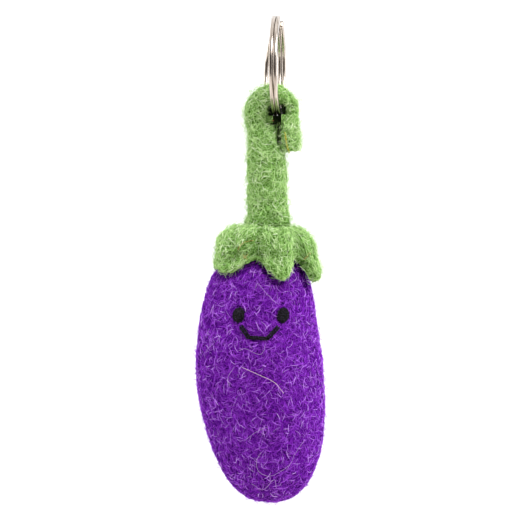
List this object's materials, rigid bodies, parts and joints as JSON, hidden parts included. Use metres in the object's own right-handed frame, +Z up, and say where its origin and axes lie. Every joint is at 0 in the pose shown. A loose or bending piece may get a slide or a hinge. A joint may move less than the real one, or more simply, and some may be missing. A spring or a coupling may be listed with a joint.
{
  "type": "felted wool eggplant key ring charm",
  "caption": "Purple felted wool eggplant with a stitched smiling face, a green felt cap and stem, and a steel split key ring through the stem's loop.",
  "frame": {"origin": "top of the key ring's opening, where a hook or a finger carries it", "axes": "+Z up the hanging charm, the face looks along -Y, +X to the right of the face as seen from the front"},
  "size_m": [0.0322, 0.0294, 0.1217],
  "materials": {
    "purple_felt": "hairy felted wool",
    "green_felt": "hairy felted wool",
    "black_thread": "stranded embroidery thread",
    "olive_thread": "sewing thread",
    "steel": "polished spring steel with fine drawn lines"
  },
  "bodies": {
    "ring": {"split_ring": "steel"},
    "charm": {"stem_loop": "green_felt", "loop_stitch": "olive_thread", "calyx": "green_felt", "eggplant_body": "purple_felt", "eye_left": "black_thread", "eye_right": "black_thread", "smile": "black_thread"}
  },
  "joints": [
    {"name": "swing_on_ring", "type": "hinge", "parent": "ring", "child": "charm", "pos_m": [-0.0003, 0, -0.0179], "axis": [0.9949, -0.1011, 0], "range_deg": [-35, 35]}
  ]
}
